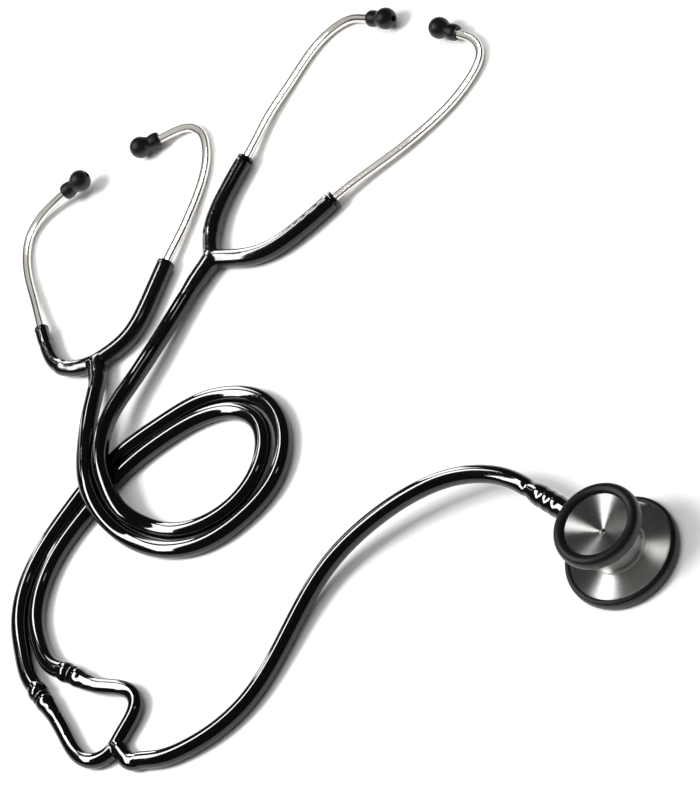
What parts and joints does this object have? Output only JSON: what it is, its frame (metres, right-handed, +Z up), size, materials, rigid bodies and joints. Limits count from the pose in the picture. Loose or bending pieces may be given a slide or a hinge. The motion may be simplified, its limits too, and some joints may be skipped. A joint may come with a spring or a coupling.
{
  "type": "teaching stethoscope",
  "caption": "Teaching stethoscope lying on a table: a dual-head chestpiece on one tube that splits at a heart-shaped Y into tubes with full headsets.",
  "frame": {"origin": "centre of the diaphragm's outer face, on the table plane", "axes": "+Z up from the table; the chest stem points along +Y turned 10.8 degrees towards -X; the headsets point to +X and +Y"},
  "size_m": [0.338, 0.4004, 0.0295],
  "materials": {
    "satin_steel": "turned, satin",
    "polished_steel": "polished",
    "black_pvc": "glossy",
    "soft_rubber": "satin",
    "diaphragm_sheet": "fine satin",
    "spring_steel": "plain"
  },
  "bodies": {
    "tubing": {"chest_stem": "polished_steel", "chest_cuff": "black_pvc", "chest_tube": "black_pvc", "heart_y": "black_pvc", "student_connector": "polished_steel", "teacher_connector": "polished_steel", "student_cuff": "black_pvc", "teacher_cuff": "black_pvc", "student_tube": "black_pvc", "teacher_tube": "black_pvc", "student_yoke": "black_pvc", "teacher_yoke": "black_pvc", "student_spring": "spring_steel", "teacher_spring": "spring_steel"},
    "chest_head": {"chest_body": "satin_steel", "bell_ring": "soft_rubber", "diaphragm": "diaphragm_sheet", "diaphragm_rim": "soft_rubber", "stem_nut": "satin_steel", "detent_ball": "polished_steel", "detent_spring": "spring_steel"},
    "teacher_arm_left": {"teacher_arm_left": "black_pvc"},
    "teacher_ear_left": {"teacher_ear_tube_left": "polished_steel"},
    "teacher_tip_left": {"teacher_eartip_left": "soft_rubber"},
    "teacher_arm_right": {"teacher_arm_right": "black_pvc"},
    "teacher_ear_right": {"teacher_ear_tube_right": "polished_steel"},
    "teacher_tip_right": {"teacher_eartip_right": "soft_rubber"},
    "student_arm_left": {"student_arm_left": "black_pvc"},
    "student_ear_left": {"student_ear_tube_left": "polished_steel"},
    "student_tip_left": {"student_eartip_left": "soft_rubber"},
    "student_arm_right": {"student_arm_right": "black_pvc"},
    "student_ear_right": {"student_ear_tube_right": "polished_steel"},
    "student_tip_right": {"student_eartip_right": "soft_rubber"}
  },
  "joints": [
    {"name": "head_swivel", "type": "hinge", "parent": "tubing", "child": "chest_head", "pos_m": [0, 0, 0.0176], "axis": [-0.1874, 0.9823, 0], "range_deg": [0, 180]},
    {"name": "teacher_spread_left", "type": "hinge", "parent": "tubing", "child": "teacher_arm_left", "pos_m": [-0.0312, 0.2865, 0.005], "axis": [0, 0, 1], "range_deg": [-4, 12], "stiffness_Nm_per_rad": 0.4},
    {"name": "teacher_twist_left", "type": "hinge", "parent": "teacher_arm_left", "child": "teacher_ear_left", "pos_m": [0.0055, 0.3085, 0.005], "axis": [-0.9297, -0.3682, 0], "range_deg": [0, 45]},
    {"name": "teacher_tip_pull_left", "type": "slide", "parent": "teacher_ear_left", "child": "teacher_tip_left", "axis": [0.4964, -0.8575, 0.1354], "range_m": [0, 0.012]},
    {"name": "teacher_spread_right", "type": "hinge", "parent": "tubing", "child": "teacher_arm_right", "pos_m": [-0.03, 0.2695, 0.005], "axis": [0, 0, -1], "range_deg": [-4, 20], "stiffness_Nm_per_rad": 0.4},
    {"name": "teacher_twist_right", "type": "hinge", "parent": "teacher_arm_right", "child": "teacher_ear_right", "pos_m": [0.0205, 0.2525, 0.005], "axis": [0.9992, -0.0412, 0], "range_deg": [0, 45]},
    {"name": "teacher_tip_pull_right", "type": "slide", "parent": "teacher_ear_right", "child": "teacher_tip_right", "axis": [-0.3748, 0.9162, 0.1416], "range_m": [0, 0.012]},
    {"name": "student_spread_left", "type": "hinge", "parent": "tubing", "child": "student_arm_left", "pos_m": [-0.1125, 0.287, 0.005], "axis": [0, 0, 1], "range_deg": [-4, 20], "stiffness_Nm_per_rad": 0.4},
    {"name": "student_twist_left", "type": "hinge", "parent": "student_arm_left", "child": "student_ear_left", "pos_m": [-0.1125, 0.32, 0.006], "axis": [-0.3548, -0.9339, -0.044], "range_deg": [0, 45]},
    {"name": "student_tip_pull_left", "type": "slide", "parent": "student_ear_left", "child": "student_tip_left", "axis": [0.9294, -0.3131, 0.1957], "range_m": [0, 0.012]},
    {"name": "student_spread_right", "type": "hinge", "parent": "tubing", "child": "student_arm_right", "pos_m": [-0.0958, 0.2794, 0.005], "axis": [0, 0, -1], "range_deg": [-4, 4], "stiffness_Nm_per_rad": 0.4},
    {"name": "student_twist_right", "type": "hinge", "parent": "student_arm_right", "child": "student_ear_right", "pos_m": [-0.052, 0.2963, 0.005], "axis": [0.8639, 0.5037, 0], "range_deg": [0, 45]},
    {"name": "student_tip_pull_right", "type": "slide", "parent": "student_ear_right", "child": "student_tip_right", "axis": [-0.929, 0.3252, 0.1765], "range_m": [0, 0.012]}
  ]
}
